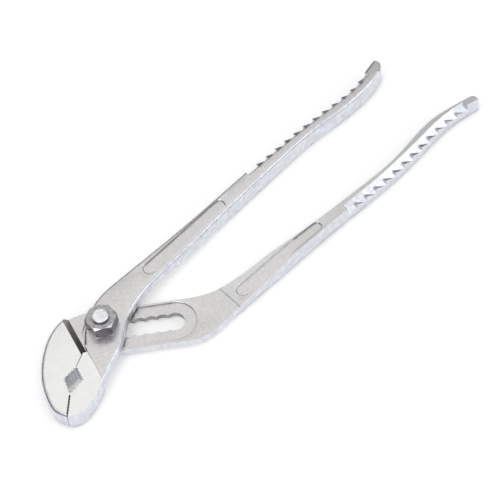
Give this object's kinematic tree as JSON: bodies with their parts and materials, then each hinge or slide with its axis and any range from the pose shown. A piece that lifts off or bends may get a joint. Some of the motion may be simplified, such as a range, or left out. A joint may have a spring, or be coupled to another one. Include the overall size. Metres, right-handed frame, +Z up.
{
  "type": "tongue and groove pliers",
  "caption": "Slip-joint water pump pliers: two forged levers on a keyed bolt that sets in a notched slot, with angled toothed jaws and serrated handles.",
  "frame": {"origin": "under the middle of the whole tool, on the plane it lies on, with the bolt in the tightest notch and the jaws closed", "axes": "+X along the handles, away from the jaws; +Y towards the front lever's handle; +Z up, from the bolt's head to its nut"},
  "size_m": [0.2518, 0.0582, 0.0187],
  "materials": {
    "plated_forging": "nickel-chrome plate over a drop forging: satin faces, bright side walls, polished jaw faces",
    "plated_fastener": "bright nickel-chrome plate",
    "washer_steel": "plain ground steel"
  },
  "bodies": {
    "slotted": {"slotted_lever": "plated_forging"},
    "slider": {"joint_washer": "washer_steel"},
    "front": {"front_lever": "plated_forging", "pivot_bolt": "plated_fastener", "hex_nut": "plated_fastener"}
  },
  "joints": [
    {"name": "notch_slide", "type": "slide", "parent": "slotted", "child": "slider", "axis": [0.8141, -0.5807, 0], "range_m": [0, 0.0318]},
    {"name": "jaw_hinge", "type": "hinge", "parent": "slider", "child": "front", "pos_m": [-0.08215, 0.00621, 0.00575], "axis": [0, 0, 1], "range_deg": [0, 60]}
  ]
}
